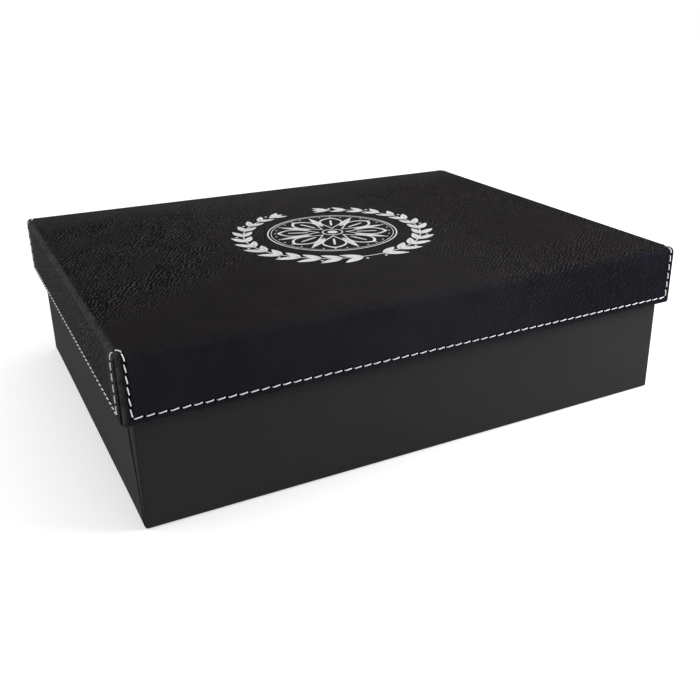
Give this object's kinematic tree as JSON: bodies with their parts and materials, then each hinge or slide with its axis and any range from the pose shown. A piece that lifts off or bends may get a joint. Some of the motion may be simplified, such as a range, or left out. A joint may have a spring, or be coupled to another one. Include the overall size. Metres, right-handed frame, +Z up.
{
  "type": "leatherette box",
  "caption": "Shallow rectangular keepsake box: a paper-wrapped tray under a lift-off lid in stitched leatherette.",
  "frame": {"origin": "middle of the underside, on the surface that the box stands on", "axes": "+X along the long side, -Y towards the front, +Z up"},
  "size_m": [0.3058, 0.2416, 0.0863],
  "materials": {
    "leatherette": "black leatherette with a fine pebbled grain, satin",
    "thread": "white polyester sewing thread",
    "black_paper": "smooth matt black wrapping paper",
    "lining_paper": "matt black lining paper",
    "greyboard": "raw greyboard",
    "corner_tape": "brown gummed paper tape"
  },
  "bodies": {
    "base": {"base_bottom_board": "greyboard", "base_front_board": "greyboard", "base_back_board": "greyboard", "base_left_board": "greyboard", "base_right_board": "greyboard", "base_corner_tape_front_left": "corner_tape", "base_corner_tape_front_right": "corner_tape", "base_corner_tape_back_right": "corner_tape", "base_corner_tape_back_left": "corner_tape", "base_wrap": "black_paper", "base_bottom_sheet": "black_paper", "base_wall_lining": "lining_paper", "base_floor_card": "lining_paper"},
    "lid": {"lid_top_board": "greyboard", "lid_front_board": "greyboard", "lid_back_board": "greyboard", "lid_left_board": "greyboard", "lid_right_board": "greyboard", "lid_corner_tape_front_left": "corner_tape", "lid_corner_tape_front_right": "corner_tape", "lid_corner_tape_back_right": "corner_tape", "lid_corner_tape_back_left": "corner_tape", "lid_cover": "leatherette", "lid_stitching": "thread", "lid_wall_lining": "lining_paper", "lid_ceiling_lining": "lining_paper"}
  },
  "joints": [
    {"name": "lid_lift", "type": "slide", "parent": "base", "child": "lid", "axis": [0, 0, 1], "range_m": [0, 0.08]}
  ]
}
